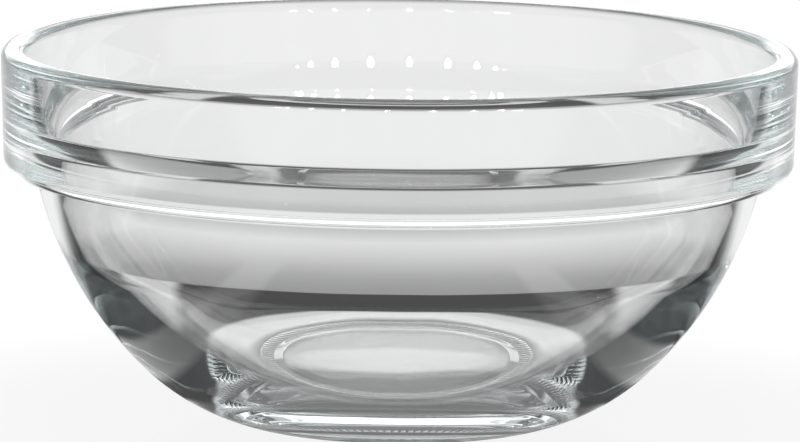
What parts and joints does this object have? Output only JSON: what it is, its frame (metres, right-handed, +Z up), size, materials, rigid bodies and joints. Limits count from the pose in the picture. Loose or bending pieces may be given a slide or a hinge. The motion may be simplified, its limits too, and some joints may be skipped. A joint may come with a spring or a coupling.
{
  "type": "prep bowl",
  "caption": "Small clear glass prep bowl with a round rim, a stepped stacking collar, a curved body and a recessed standing base.",
  "frame": {"origin": "centre of the standing ring, on the surface that the bowl stands on", "axes": "+Z up along the bowl's axis of revolution, out of the mouth; +X to the right in the picture's view, +Y away from the viewer"},
  "size_m": [0.09, 0.09, 0.0425],
  "materials": {
    "clear_glass": "clear tempered soda-lime glass, pressed and fire-polished, very slight cool green tint in the thick places"
  },
  "bodies": {
    "root": {"bowl": "clear_glass"}
  },
  "joints": []
}
